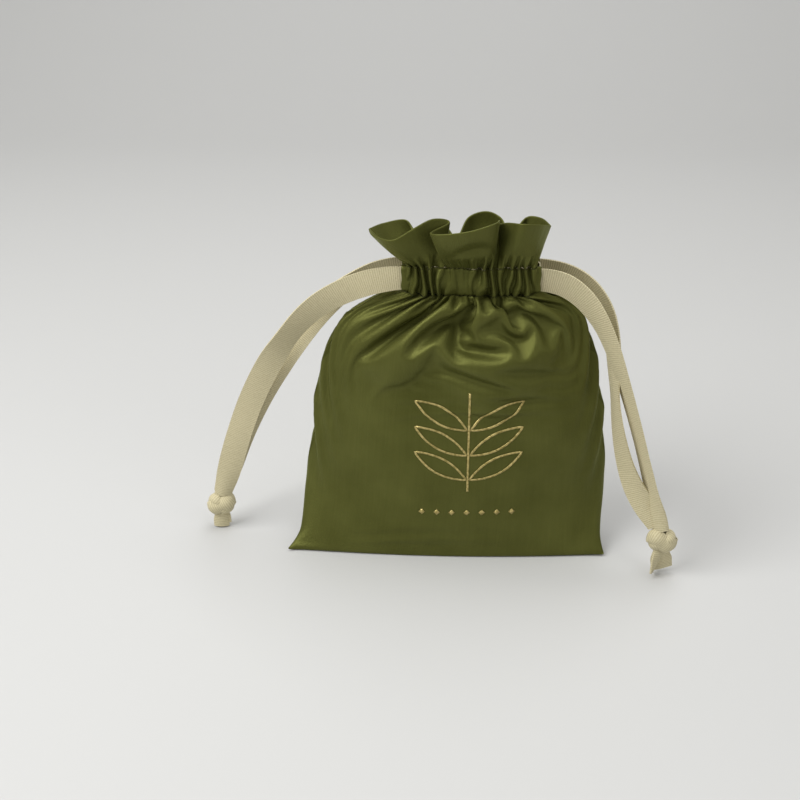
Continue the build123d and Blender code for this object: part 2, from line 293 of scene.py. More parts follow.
def neck_ring(side, s, k, depth=1.0, inward=0.0):
    """The gathered neck, k from 0 at the casing's lower stitches to 1 at its upper ones."""
    plan = along_table(CASING_FRONT, s)
    puff = (1.4 + 0.5 * math.sin(11 * s)) * math.sin(math.pi * min(1.0, max(0.0, k)))
    fade = 1 - abs(s) ** 8
    turn = math.pi * PUCKERS * (s + 0.045 * PHASE_WANDER[side](s) + 0.035 * math.sin(3.4 * k + 13 * s))
    wave = depth * PUCKER_DEPTH * (1 + 0.5 * DEPTH_WANDER[side](s + 0.1 * k)) * fade
    out = -plan[1] + fade * puff + wave * (math.cos(turn) + PUCKER_LIFT) - inward * fade
    x = NECK_X + plan[0] + 0.3 * depth * math.sin(2 * turn) * fade
    z = NECK_LOW + (NECK_HIGH - NECK_LOW) * k + 0.3 * depth * math.sin(turn + 1) * fade
    return np.array([x, side * out, z])


# the curved dent across the header's middle lobe
DENT_X = 8.0
DENT_HALF_WIDTH = 7.0
DENT_DEPTH = 1.7


def header_point(side, s, k):
    """The flared header, k from 0 at the casing to 1 at its folded top edge."""
    base = neck_ring(side, s, 1.0, max(0.0, 1 - 3.2 * k))
    top = along_table(TOP_FRONT if side == FRONT else TOP_BACK, s)
    share = k ** 0.85
    point = base * (1 - share) + top * share
    point[1] += side * 1.2 * math.sin(math.pi * k) * (1 - abs(s) ** 6)
    if side == FRONT:
        over = (point[0] - DENT_X) / DENT_HALF_WIDTH
        point[1] += DENT_DEPTH * math.exp(-over * over - ((k - 0.56 + 0.12 * over * over) / 0.13) ** 2)
    point[2] = NECK_HIGH + (top[2] - NECK_HIGH) * k
    return point


def hold_of(side, s, j):
    """How firmly a point of the cloth is held: the casing is fixed, the slack cloth under it is nearly free."""
    if FIRST_CASING <= j < FIRST_HEADER:
        return 1.0
    if j >= FIRST_HEADER:
        return HOLD_HEADER * smooth((j - FIRST_HEADER + 1) / (0.3 * HEADER_ROWS))
    if j < 4:
        return HOLD_FOOT
    up = j / BODY_ROWS
    hold = HOLD_UP + (HOLD_SIDE - HOLD_UP) * smooth((abs(s) - 0.72) / 0.2)
    slack_from = puff_edge(4 + 60 * s) / NECK_LOW if side == FRONT else 0.5
    hold += (HOLD_LOW - hold) * smooth((slack_from - up) / 0.12)
    if side == FRONT:
        hold += HOLD_CREASE * math.exp(-(s / 0.06) ** 2) * smooth((up - 0.72) / 0.1)
    return hold * smooth((1.0 - up) / 0.08)


def lay_out_cloth():
    """The whole bag as one tube of cloth: start points, gathered points, holds, and each point's index."""
    start, gathered, holds, place = [], [], [], {}
    lines = {(side, i): filled_line(side, 2 * i / COLUMNS - 1)
             for side in (FRONT, BACK) for i in range(COLUMNS + 1)}
    for j in range(ROWS + 1):
        for side in (FRONT, BACK):
            for i in range(COLUMNS + 1):
                if side == BACK and (i in (0, COLUMNS) or j == 0):
                    place[side, i, j] = place[FRONT, i, j]
                    continue
                s = 2 * i / COLUMNS - 1
                if j < FIRST_CASING:
                    goal = filled_point(side, lines[side, i], j)
                elif j < FIRST_HEADER:
                    goal = neck_ring(side, s, (j - FIRST_CASING) / (CASING_ROWS - 1))
                else:
                    goal = header_point(side, s, (j - FIRST_HEADER + 1) / HEADER_ROWS)
                place[side, i, j] = len(start)
                start.append(open_bag(side, s, j))
                gathered.append(goal)
                holds.append(hold_of(side, s, j))
    return np.array(start), np.array(gathered), holds, place


def quads_between(place, side, first, last):
    """Faces of one side of the bag between two rows, facing outward."""
    faces = []
    for j in range(first, last):
        for i in range(COLUMNS):
            corners = [place[side, i + di, j + dj] for di, dj in ((0, 0), (1, 0), (1, 1), (0, 1))]
            faces.append(corners if side == FRONT else corners[::-1])
    return faces


def gather_cloth(start, gathered, holds, faces):
    """Pulls the drawstring: the casing moves from the open bag to the gathered neck, and the cloth follows."""
    to_sim = MM * SIM_SCALE
    mesh = bpy.data.meshes.new("gathering")
    mesh.from_pydata((start * to_sim).tolist(), [], faces)
    cloth = bpy.data.objects.new("gathering", mesh)
    scene = bpy.context.scene
    scene.collection.objects.link(cloth)
    cloth.shape_key_add(name="Basis")
    key = cloth.shape_key_add(name="gathered")
    key.data.foreach_set("co", (gathered * to_sim).astype(np.float32).ravel())
    group = cloth.vertex_groups.new(name="hold")
    for k, hold in enumerate(holds):
        group.add([k], hold, "REPLACE")
    modifier = cloth.modifiers.new("cloth", "CLOTH")
    settings = modifier.settings
    settings.quality = 5
    settings.mass = 0.15
    settings.tension_stiffness = settings.compression_stiffness = 20
    settings.shear_stiffness = 6
    settings.bending_stiffness = 14.0
    settings.tension_damping = settings.compression_damping = settings.shear_damping = 8
    settings.bending_damping = 0.6
    settings.air_damping = 4
    settings.vertex_group_mass = "hold"
    settings.use_pressure = True
    settings.uniform_pressure_force = PRESSURE
    settings.effector_weights.gravity = 0.3
    modifier.collision_settings.use_collision = False
    modifier.point_cache.frame_end = GATHER_FRAMES + SETTLE_FRAMES
    for f in range(1, GATHER_FRAMES + 2):
        key.value = smooth((f - 1) / GATHER_FRAMES)
        key.keyframe_insert("value", frame=f)
    for f in range(1, GATHER_FRAMES + SETTLE_FRAMES + 1):
        scene.frame_set(f)
    result = cloth.evaluated_get(bpy.context.evaluated_depsgraph_get())
    points = np.zeros(len(start) * 3)
    result.data.vertices.foreach_get("co", points)
    bpy.data.objects.remove(cloth)
    scene.frame_set(1)
    return points.reshape(-1, 3) / to_sim


start, gathered, holds, place = lay_out_cloth()
all_faces = quads_between(place, FRONT, 0, ROWS) + quads_between(place, BACK, 0, ROWS)
cloth_points = gather_cloth(start, gathered, holds, all_faces)
cloth_points[:, 2] = np.maximum(cloth_points[:, 2], 0.25)


# ---------------------------------------------------------------- materials
def node_material(name):
    material = bpy.data.materials.new(name)
    material.use_nodes = True
    tree = material.node_tree
    return material, tree, tree.nodes["Principled BSDF"]


def add_node(tree, kind, **values):
    node = tree.nodes.new(kind)
    for key, value in values.items():
        setattr(node, key, value)
    return node


def cloth_coordinates(tree, scale):
    """The cut cloth's own coordinates in mm, from its UV map, multiplied by scale."""
    coordinates = add_node(tree, "ShaderNodeTexCoord")
    mapping = add_node(tree, "ShaderNodeMapping")
    mapping.inputs["Scale"].default_value = scale
    tree.links.new(coordinates.outputs["UV"], mapping.inputs["Vector"])
    return mapping.outputs["Vector"]


def bump(tree, height, strength, distance, before=None):
    node = add_node(tree, "ShaderNodeBump")
    node.inputs["Strength"].default_value = strength
    node.inputs["Distance"].default_value = distance
    tree.links.new(height, node.inputs["Height"])
    if before is not None:
        tree.links.new(before, node.inputs["Normal"])
    return node.outputs["Normal"]


def satin_material(name, dark, light):
    """Olive satin: long floats along the cut, a broad tinted sheen and faint crumples."""
    material, tree, shader = node_material(name)
    slub = add_node(tree, "ShaderNodeTexNoise")
    slub.inputs["Scale"].default_value = 1.0
    slub.inputs["Detail"].default_value = 4
    tree.links.new(cloth_coordinates(tree, (1.2, 0.05, 1)), slub.inputs["Vector"])
    cloud = add_node(tree, "ShaderNodeTexNoise")
    cloud.inputs["Scale"].default_value = 1.0
    cloud.inputs["Detail"].default_value = 3
    tree.links.new(cloth_coordinates(tree, (0.05, 0.05, 1)), cloud.inputs["Vector"])
    shade = add_node(tree, "ShaderNodeMath", operation="MULTIPLY_ADD")
    shade.inputs[1].default_value = 0.35
    tree.links.new(slub.outputs["Fac"], shade.inputs[0])
    tree.links.new(cloud.outputs["Fac"], shade.inputs[2])
    ramp = add_node(tree, "ShaderNodeValToRGB")
    ramp.color_ramp.elements[0].position, ramp.color_ramp.elements[1].position = 0.45, 0.9
    ramp.color_ramp.elements[0].color, ramp.color_ramp.elements[1].color = (*dark, 1), (*light, 1)
    tree.links.new(shade.outputs[0], ramp.inputs["Fac"])
    tree.links.new(ramp.outputs["Color"], shader.inputs["Base Color"])
    floats = add_node(tree, "ShaderNodeTexWave", wave_type="BANDS", bands_direction="X")
    floats.inputs["Scale"].default_value = 1.0
    floats.inputs["Distortion"].default_value = 0.6
    tree.links.new(cloth_coordinates(tree, (1.6, 0.16, 1)), floats.inputs["Vector"])
    crumple = add_node(tree, "ShaderNodeTexNoise")
    crumple.inputs["Scale"].default_value = 1.0
    crumple.inputs["Detail"].default_value = 2
    tree.links.new(cloth_coordinates(tree, (0.11, 0.07, 1)), crumple.inputs["Vector"])
    glint = add_node(tree, "ShaderNodeTexNoise")
    glint.inputs["Scale"].default_value = 1.0
    glint.inputs["Detail"].default_value = 3
    tree.links.new(cloth_coordinates(tree, (1.9, 1.1, 1)), glint.inputs["Vector"])
    soft = bump(tree, crumple.outputs["Fac"], 0.35, 0.0012)
    soft = bump(tree, glint.outputs["Fac"], 0.7, 0.00018, soft)
    tree.links.new(bump(tree, floats.outputs["Fac"], 0.25, 0.00004, soft), shader.inputs["Normal"])
    shader.inputs["Metallic"].default_value = 0.45
    shader.inputs["Roughness"].default_value = 0.42
    shader.inputs["Specular IOR Level"].default_value = 0.25
    shader.inputs["Specular Tint"].default_value = (0.9, 0.95, 0.5, 1)
    shader.inputs["Anisotropic"].default_value = 0.4
    shader.inputs["Sheen Weight"].default_value = 0.12
    shader.inputs["Sheen Roughness"].default_value = 0.4
    shader.inputs["Sheen Tint"].default_value = (0.55, 0.58, 0.18, 1)
    return material


def ribbon_material(name):
    """Cream grosgrain: close ribs across the ribbon."""
    material, tree, shader = node_material(name)
    ribs = add_node(tree, "ShaderNodeTexWave", wave_type="BANDS", bands_direction="Y")
    ribs.inputs["Scale"].default_value = 1.0
    ribs.inputs["Distortion"].default_value = 0.4
    tree.links.new(cloth_coordinates(tree, (0.3, 0.39, 1)), ribs.inputs["Vector"])
    fleck = add_node(tree, "ShaderNodeTexNoise")
    fleck.inputs["Scale"].default_value = 1.0
    fleck.inputs["Detail"].default_value = 3
    tree.links.new(cloth_coordinates(tree, (3.0, 0.9, 1)), fleck.inputs["Vector"])
    # the rib bands darken the colour in the grooves between the ribs and lighten it on their tops, a painted
    # shade and painted highlight; the fleck noise is the yarn's own uneven tone
    rib_shade_and_fleck = add_node(tree, "ShaderNodeMath", operation="MULTIPLY_ADD")
    rib_shade_and_fleck.inputs[1].default_value = 0.55
    tree.links.new(ribs.outputs["Fac"], rib_shade_and_fleck.inputs[0])
    tree.links.new(fleck.outputs["Fac"], rib_shade_and_fleck.inputs[2])
    ramp = add_node(tree, "ShaderNodeValToRGB")
    ramp.color_ramp.elements[0].position, ramp.color_ramp.elements[1].position = 0.3, 1.0
    ramp.color_ramp.elements[0].color = (0.41, 0.355, 0.20, 1)
    ramp.color_ramp.elements[1].color = (0.62, 0.56, 0.365, 1)
    tree.links.new(rib_shade_and_fleck.outputs[0], ramp.inputs["Fac"])
    tree.links.new(ramp.outputs["Color"], shader.inputs["Base Color"])
    tree.links.new(bump(tree, ribs.outputs["Fac"], 0.6, 0.00012), shader.inputs["Normal"])
    shader.inputs["Roughness"].default_value = 0.62
    shader.inputs["Specular IOR Level"].default_value = 0.2
    shader.inputs["Sheen Weight"].default_value = 0.08
    shader.inputs["Sheen Roughness"].default_value = 0.5
    return material


def foil_material():
    """Hot-stamped foil, a little rubbed."""
    material, tree, shader = node_material("gold_foil")
    rub = add_node(tree, "ShaderNodeTexNoise")
    rub.inputs["Scale"].default_value = 900
    rub.inputs["Detail"].default_value = 4
    coordinates = add_node(tree, "ShaderNodeTexCoord")
    tree.links.new(coordinates.outputs["Object"], rub.inputs["Vector"])
    ramp = add_node(tree, "ShaderNodeValToRGB")
    ramp.color_ramp.elements[0].position, ramp.color_ramp.elements[1].position = 0.35, 0.6
    ramp.color_ramp.elements[0].color = (0.30, 0.24, 0.07, 1)
    ramp.color_ramp.elements[1].color = (0.62, 0.50, 0.20, 1)
    tree.links.new(rub.outputs["Fac"], ramp.inputs["Fac"])
    tree.links.new(ramp.outputs["Color"], shader.inputs["Base Color"])
    tree.links.new(bump(tree, rub.outputs["Fac"], 0.2, 0.00003), shader.inputs["Normal"])
    shader.inputs["Metallic"].default_value = 0.75
    shader.inputs["Roughness"].default_value = 0.42
    return material


def thread_material(name, colour):
    """Twisted polyester thread."""
    material, tree, shader = node_material(name)
    twist_and_groove_shade = add_node(tree, "ShaderNodeTexWave", wave_type="BANDS", bands_direction="DIAGONAL")
    twist_and_groove_shade.inputs["Scale"].default_value = 900
    coordinates = add_node(tree, "ShaderNodeTexCoord")
    tree.links.new(coordinates.outputs["Object"], twist_and_groove_shade.inputs["Vector"])
    # the twist bands darken the colour in the grooves between the plies, a painted shade; the same bands give
    # the bump
    ramp = add_node(tree, "ShaderNodeValToRGB")
    ramp.color_ramp.elements[0].color = (*[c * 0.7 for c in colour], 1)
    ramp.color_ramp.elements[1].color = (*colour, 1)
    tree.links.new(twist_and_groove_shade.outputs["Fac"], ramp.inputs["Fac"])
    tree.links.new(ramp.outputs["Color"], shader.inputs["Base Color"])
    tree.links.new(bump(tree, twist_and_groove_shade.outputs["Fac"], 0.4, 0.00005), shader.inputs["Normal"])
    shader.inputs["Roughness"].default_value = 0.75
    shader.inputs["Specular IOR Level"].default_value = 0.2
    return material


satin = satin_material("olive_satin", (0.076, 0.079, 0.017), (0.103, 0.107, 0.026))
# the seam allowances inside the sack use a darker copy of the olive satin: painted shade
shaded_seam_satin = satin_material("seam_allowance_satin_painted_shade", (0.055, 0.058, 0.012), (0.080, 0.084, 0.018))
grosgrain = ribbon_material("cream_grosgrain")
foil = foil_material()
olive_thread = thread_material("olive_thread", (0.05, 0.053, 0.014))


# ---------------------------------------------------------------- building pieces
def new_piece(name, points, faces, material, uvs=None):
    """A smooth-shaded mesh piece, from points in metres."""
    mesh = bpy.data.meshes.new(name)
    mesh.from_pydata([tuple(p) for p in points], [], faces)
    if uvs is not None:
        layer = mesh.uv_layers.new(name="UVMap")
        for loop in mesh.loops:
            layer.data[loop.index].uv = uvs[loop.vertex_index]
    mesh.materials.append(material)
    for polygon in mesh.polygons:
        polygon.use_smooth = True
    mesh.update()
    piece = bpy.data.objects.new(name, mesh)
    bpy.context.scene.collection.objects.link(piece)
    return piece


def apply_modifiers(piece):
    """Bakes the piece's modifiers into its mesh."""
    result = bpy.data.meshes.new_from_object(piece.evaluated_get(bpy.context.evaluated_depsgraph_get()))
    piece.modifiers.clear()
    piece.data = result
    return piece


def thicken(piece, thick):
    """Gives a single layer of cloth its thickness, inward, and subdivides it once."""
    body = piece.modifiers.new("thick", "SOLIDIFY")
    body.thickness = thick * MM
    body.offset = -1
    fine = piece.modifiers.new("fine", "SUBSURF")
    fine.levels = fine.render_levels = 1
    return apply_modifiers(piece)


def cloth_panel(name, side, first, last, thick):
    """One stretch of one side of the bag, cut out of the gathered cloth and given its thickness."""
    grid = quads_between(place, side, first, last)
    ids = sorted({k for face in grid for k in face})
    local = {k: n for n, k in enumerate(ids)}
    where = {}
    for j in range(first, last + 1):
        for i in range(COLUMNS + 1):
            where[local[place[side, i, j]]] = (CUT_WIDTH * i / COLUMNS, cut_run(side, j))
    faces = [[local[k] for k in face] for face in grid]
    uvs = [where[n] for n in range(len(ids))]
    return thicken(new_piece(name, cloth_points[ids] * MM, faces, satin, uvs), thick)


# the casing's folds are set a little proud, because subdivision rounds them off
FOLD_OUT = 0.35
FOLD_LIFT = 0.6


def casing_channel(name, side, thick):
    """One casing, open at both mouths: the gathered cloth outside, and a layer behind the ribbons."""
    rows = CASING_ROWS
    points, uvs, faces = [], [], []
    for i in range(COLUMNS + 1):
        s = 2 * i / COLUMNS - 1
        u = CUT_WIDTH * i / COLUMNS
        for j in range(rows):
            fold = {0: -1, rows - 1: 1}.get(j, 0)
            proud = abs(fold) * np.array([0, side * FOLD_OUT, fold * FOLD_LIFT])
            points.append(cloth_points[place[side, i, FIRST_CASING + j]] + proud)
            uvs.append((u, CASING_CUT * j / (rows - 1)))
        for j in range(1, rows - 1):
            k = 1 - j / (rows - 1)
            points.append(neck_ring(side, s, k, 0.85, CHANNEL_DEPTH * math.sin(math.pi * k) ** 0.35))
            uvs.append((u, CASING_CUT * (1 + j / (rows - 1))))
    around = 2 * rows - 2
    for i in range(COLUMNS):
        for j in range(around):
            a, b = i * around + j, i * around + (j + 1) % around
            corners = [a, a + around, b + around, b]
            faces.append(corners if side == FRONT else corners[::-1])
    return thicken(new_piece(name, np.array(points) * MM, faces, satin, uvs), thick)


def finish_piece(piece, body, slot, *nodes):
    """Says which body a piece rides on and the CAD nodes it stands for; the material slot is not used."""
    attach(piece, body)
    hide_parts(*nodes)
    return piece


PANEL_THICK = 0.35
FOLDED_THICK = 0.7
panels = {}
for label, side in (("front", FRONT), ("back", BACK)):
    panels[side] = cloth_panel(f"{label}_panel_cloth", side, 0, FIRST_CASING, PANEL_THICK)
    finish_piece(panels[side], "sack", "satin", f"{label}_panel")
    channel = casing_channel(f"{label}_casing_cloth", side, PANEL_THICK)
    finish_piece(channel, "sack", "satin", f"{label}_casing")
    frill = cloth_panel(f"{label}_header_cloth", side, FIRST_HEADER - 1, ROWS, FOLDED_THICK)
    finish_piece(frill, "sack", "satin", f"{label}_header")


# ---------------------------------------------------------------- stitches and seams
def tube(points, radius, sides=6):
    """A closed round thread along the points, as vertices and faces."""
    path = [Vector(p) for p in points]
    verts, faces = [], []
    for k, here in enumerate(path):
        along = (path[min(k + 1, len(path) - 1)] - path[max(k - 1, 0)]).normalized()
        across_it = along.cross(Vector((0.3, 0.2, 1))).normalized()
        up = along.cross(across_it)
        r = radius * (0.75 if k in (0, len(path) - 1) else 1.0)
        for q in range(sides):
            a = 2 * math.pi * q / sides
            verts.append(here + r * (math.cos(a) * across_it + math.sin(a) * up))
    for k in range(len(path) - 1):
        for q in range(sides):
            a, b = k * sides + q, k * sides + (q + 1) % sides
            faces.append([a, b, b + sides, a + sides])
    faces.append(list(range(sides))[::-1])
    faces.append([len(verts) - sides + q for q in range(sides)])
    return verts, faces


def joined(name, parts, material):
    """One piece from several sets of vertices and faces."""
    verts, faces = [], []
    for some_verts, some_faces in parts:
        faces += [[k + len(verts) for k in face] for face in some_faces]
        verts += list(some_verts)
    return new_piece(name, [Vector(v) * MM for v in verts], faces, material)


THREAD_RADIUS = 0.14
THREAD_LIFT = 0.1
for label, side in (("front", FRONT), ("back", BACK)):
    for level, j in (("lower", FIRST_CASING), ("upper", FIRST_HEADER - 1)):
        dashes = []
        for i in range(2, COLUMNS - 3, 3):
            run = [Vector(cloth_points[place[side, i + q, j]]) for q in range(3)]
            dashes.append(tube([p + Vector((0, side * THREAD_LIFT, 0)) for p in run], THREAD_RADIUS))
        thread = joined(f"{label}_{level}_stitching", dashes, olive_thread)
        finish_piece(thread, "sack", "thread", f"{label}_{level}_stitches")


def allowance(name, line, inward, thick):
    """A turned-in seam allowance: a flat strip from the seam line inward, in a darker copy of the satin that
    paints the shade inside the sack.
    """
    verts, faces = [], []
    for k, p in enumerate(line):
        here = Vector(p)
        ripple = 0.3 * math.sin(1.7 * k)
        for share, lift in ((0.08, -0.5), (1.0, -0.5), (1.0, 0.5), (0.08, 0.5)):
            verts.append(here + inward * share + Vector((0, ripple * share, 0)) + thick * lift)
    for k in range(len(line) - 1):
        for q in range(4):
            a, b = 4 * k + q, 4 * k + (q + 1) % 4
            faces.append([a, b, b + 4, a + 4])
    faces += [[3, 2, 1, 0], [len(verts) - 4 + q for q in range(4)]]
    return joined(name, [(verts, faces)], shaded_seam_satin)


SEAM_WIDTH = 5.0
SEAM_THICK = 0.8
SEAM_START_ROW = 24
for label, edge, inward in (("left", 0, 1), ("right", COLUMNS, -1)):
    line = [cloth_points[place[FRONT, edge, j]] for j in range(SEAM_START_ROW, FIRST_CASING - 3)]
    strip = allowance(f"{label}_side_seam_edges", line, Vector((inward * SEAM_WIDTH, 0, 0)),
                      Vector((0, SEAM_THICK, 0)))
    finish_piece(strip, "sack", "seam_tape", f"{label}_side_seam")
line = [cloth_points[place[FRONT, i, 1]] for i in range(6, COLUMNS - 5)]
strip = allowance("bottom_seam_edges", line, Vector((0, SEAM_WIDTH, 0.3)), Vector((0, 0, SEAM_THICK)))
finish_piece(strip, "sack", "seam_tape", "bottom_seam")


# ---------------------------------------------------------------- foil print
PRINT_LINE = 0.85
LEAF_PAIRS = 3
LEAF_LENGTH = 25.0
LEAF_WIDTH = 7.6
LEAF_TILT = math.radians(30)
LEAF_PITCH = 11.0
LEAF_FOOT = 5.0
FOIL_LIFT = 0.10
FOIL_THICK = 0.12
DIAMONDS = 7
front_tree = BVHTree.FromObject(panels[FRONT], bpy.context.evaluated_depsgraph_get())


def on_front(x, z, lift):
    """The point of the front panel's outside at (x, z), in mm, raised by lift."""
    hit, normal, _, _ = front_tree.ray_cast(Vector((x, -80, z)) * MM, Vector((0, 1, 0)))
    return hit / MM + normal * lift


def foil_line(points, closed=False):
    """A raised stroke on the cloth along points (x, z)."""
    verts, faces = [], []
    count = len(points)
    for k in range(count):
        ahead = points[(k + 1) % count] if closed else points[min(k + 1, count - 1)]
        behind = points[k - 1] if closed else points[max(k - 1, 0)]
        dx, dz = ahead[0] - behind[0], ahead[1] - behind[1]
        length = math.hypot(dx, dz)
        ox, oz = -dz / length * PRINT_LINE / 2, dx / length * PRINT_LINE / 2
        x, z = points[k]
        for sign, lift in ((-1, 0), (1, 0), (1, 1), (-1, 1)):
            verts.append(on_front(x + sign * ox, z + sign * oz, FOIL_LIFT + lift * FOIL_THICK))
    for k in range(count if closed else count - 1):
        for q in range(4):
            a, b = 4 * k + q, 4 * k + (q + 1) % 4
            faces.append([a, b, (b + 4) % (4 * count), (a + 4) % (4 * count)])
    if not closed:
        faces += [[3, 2, 1, 0], [4 * count - 4 + q for q in range(4)]]
    return verts, faces


def foil_spot(x, z, half):
    """A small diamond on the cloth."""
    corners = [(x + half, z), (x, z + half), (x - half, z), (x, z - half)]
    verts = [on_front(cx, cz, FOIL_LIFT + lift * FOIL_THICK) for lift in (0, 1) for cx, cz in corners]
    sides = [[q, (q + 1) % 4, (q + 1) % 4 + 4, q + 4] for q in range(4)]
    return verts, sides + [[3, 2, 1, 0], [4, 5, 6, 7]]


sprig_low, sprig_high = (Vector(p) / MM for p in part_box("sprig_print"))
stem_x = (sprig_low.x + sprig_high.x) / 2
strokes = [foil_line([(stem_x, z) for z in np.linspace(sprig_low.z, sprig_high.z, 60)])]
for pair in range(LEAF_PAIRS):
    foot = sprig_low.z + LEAF_FOOT + pair * LEAF_PITCH
    for way in (-1, 1):
        outline = []
        for k in range(64):
            share = k / 32 if k < 32 else (64 - k) / 32
            rise = (LEAF_WIDTH - PRINT_LINE) / 2 * math.sin(math.pi * share) ** 0.85 * (1 if k < 32 else -1)
            run = PRINT_LINE + (LEAF_LENGTH - 2 * PRINT_LINE) * share
            outline.append((stem_x + way * (run * math.cos(LEAF_TILT) - rise * math.sin(LEAF_TILT)),
                            foot + run * math.sin(LEAF_TILT) + rise * math.cos(LEAF_TILT)))
        strokes.append(foil_line(outline, closed=True))
finish_piece(joined("sprig_foil", strokes, foil), "sack", "foil", "sprig_print")

row_low, row_high = (Vector(p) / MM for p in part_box("diamond_row_print"))
half = (row_high.z - row_low.z) / 2
row_z = (row_low.z + row_high.z) / 2
spots = [foil_spot(x, row_z, half) for x in np.linspace(row_low.x + half, row_high.x - half, DIAMONDS)]
finish_piece(joined("diamond_row_foil", spots, foil), "sack", "foil", "diamond_row_print")


# ---------------------------------------------------------------- ribbons
RIBBON_WIDTH = 10.0
RIBBON_THICK = 0.5
RIBBON_COLUMNS = 8
TAIL_STATIONS = 84
SHARP_ANGLE = math.radians(55)
LEAD_BACK = 3.5  # the tail starts this far inside the mouth, where the lead ends
LEAD_INNER = 15.0
pivots = {joint["name"]: Vector(joint["pos_m"]) / MM for joint in frame["joints"] if "pos_m" in joint}
LEFT_PIVOT, RIGHT_PIVOT = pivots["left_swing"], pivots["right_swing"]
LEAD_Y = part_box("left_ribbon_leads")[1].y / MM - 0.3
RIBBON_Z = LEFT_PIVOT.z
MOUTHS = (("left", -1, NECK_LEFT), ("right", 1, NECK_RIGHT))
LANES = (("front", -LEAD_Y), ("back", LEAD_Y))

# each tail's route from its pivot to its knot
ROUTES = {
    "left_front": [
        (LEFT_PIVOT.x, -LEAD_Y, RIBBON_Z), (-39.5, -4.5, 111.9), (-54.5, -3.8, 102.3), (-68.0, -2.9, 84.3),
        (-77.9, -2.3, 65.2), (-85.0, -1.7, 46.0), (-90.5, -1.1, 27.0), (-93.6, -0.8, 15.9),
    ],
    "left_back": [
        (LEFT_PIVOT.x, LEAD_Y, RIBBON_Z), (-37.5, 4.6, 110.8), (-50.0, 3.6, 100.8), (-62.5, 2.6, 84.0),
        (-73.5, 1.8, 66.0), (-82.5, 1.3, 48.0), (-89.8, 1.0, 29.5), (-94.2, 0.8, 15.9),
    ],
    "right_front": [
        (RIGHT_PIVOT.x, -LEAD_Y, RIBBON_Z), (48.5, -8.5, 112.8), (56.5, -12.0, 103.2), (62.2, -15.2, 91.0),
        (67.5, -18.2, 76.0), (72.5, -21.0, 60.5), (77.0, -24.0, 45.0), (80.6, -26.6, 32.5), (83.8, -28.8, 20.8),
    ],
    "right_back": [
        (RIGHT_PIVOT.x, LEAD_Y, RIBBON_Z), (50.5, 4.2, 113.2), (58.6, 0.2, 105.0), (62.4, -4.8, 93.5),
        (63.2, -9.8, 81.0), (64.2, -14.0, 68.0), (66.4, -17.8, 55.0), (70.2, -20.8, 42.0), (75.6, -23.8, 31.8),
        (82.6, -26.8, 22.0),
    ],
}

# how each tail turns about its own line, in degrees, its share of the full width, and how far
# it is cupped across, in mm, all by share of its length
TURNS = {
    "left_front": [(0, 0), (0.12, -8), (0.3, 12), (0.42, 30), (0.52, 4), (0.75, -10), (1, 5)],
    "left_back": [(0, 0), (0.2, 18), (0.4, -22), (0.6, 10), (0.8, 14), (1, -6)],
    "right_front": [(0, 0), (0.12, 10), (0.3, 48), (0.45, 62), (0.6, 66), (0.74, 68), (0.88, 64), (1, 30)],
    "right_back": [(0, 0), (0.2, 34), (0.4, 62), (0.56, 80), (0.68, 66), (0.8, 48), (0.92, 16), (1, -12)],
}
WIDTHS = [(0, 0.86), (0.08, 0.97), (0.16, 1), (0.9, 1), (0.96, 0.86), (1, 0.64)]
CUPS = [(0, 0.3), (0.1, 0.25), (0.5, 0.3), (0.88, 0.35), (1, 1.7)]


def smooth_line(name, points):
    """Points close together along one smooth curve through the route, in mm."""
    curve = bpy.data.curves.new(name, "CURVE")
    curve.dimensions = "3D"
    spline = curve.splines.new("NURBS")
    spline.points.add(len(points) - 1)
    for point, place_at in zip(spline.points, points):
        point.co = (*place_at, 1)
    spline.order_u = 3
    spline.use_endpoint_u = True
    spline.resolution_u = 24
    holder = bpy.data.objects.new(name, curve)
    bpy.context.scene.collection.objects.link(holder)
    bpy.context.view_layer.update()
    line = bpy.data.meshes.new_from_object(holder.evaluated_get(bpy.context.evaluated_depsgraph_get()))
    dense = np.array([v.co for v in line.vertices])
    bpy.data.objects.remove(holder)
    return dense


def stations(dense, count):
    """The line again, with count points at equal steps."""
    run = np.r_[0, np.cumsum(np.linalg.norm(np.diff(dense, axis=0), axis=1))]
    places = np.linspace(0, run[-1], count)
    return np.array([[np.interp(t, run, dense[:, k]) for k in range(3)] for t in places])


def softened(values):
    """The values averaged over their neighbours along the ribbon."""
    return np.convolve(np.pad(values, 3, mode="edge"), np.ones(7) / 7, mode="valid")


def ribbon(points, sideways, widths, cups, thick=RIBBON_THICK, closed=False, start=0.0):
    """A flat woven ribbon along points, cupped across; sideways is its width's direction at each."""
    verts, faces, uvs = [], [], []
    count, columns = len(points), RIBBON_COLUMNS
    run = start
    for k in range(count):
        here = Vector(points[k])
        ahead = Vector(points[(k + 1) % count if closed else min(k + 1, count - 1)])
        behind = Vector(points[k - 1 if closed else max(k - 1, 0)])
        along = (ahead - behind).normalized()
        wide = Vector(sideways[k])
        wide = (wide - along * wide.dot(along)).normalized()
        face = wide.cross(along)
        if k:
            run += (here - Vector(points[k - 1])).length
        for layer in (-0.5, 0.5):
            for c in range(columns + 1):
                u = 2 * c / columns - 1
                edge = 1.0 + 0.25 * abs(u) ** 12
                out = cups[k] * (u * u - 0.4) + layer * thick * edge
                verts.append(here + wide * (u * widths[k] / 2) + face * out)
                uvs.append(((c if layer < 0 else c + 0.01) * RIBBON_WIDTH / columns, run))
    ring = 2 * (columns + 1)
    loop = list(range(columns + 1)) + list(range(ring - 1, columns, -1))
    for k in range(count if closed else count - 1):
        for q in range(ring):
            a, b = loop[q], loop[(q + 1) % ring]
            n = (k + 1) % count
            faces.append([k * ring + a, k * ring + b, n * ring + b, n * ring + a])
    if not closed:
        for c in range(columns):
            faces.append([c, columns + 1 + c, columns + 2 + c, c + 1])
            last = (count - 1) * ring
            faces.append([last + c, last + c + 1, last + columns + 2 + c, last + columns + 1 + c])
    return verts, faces, uvs


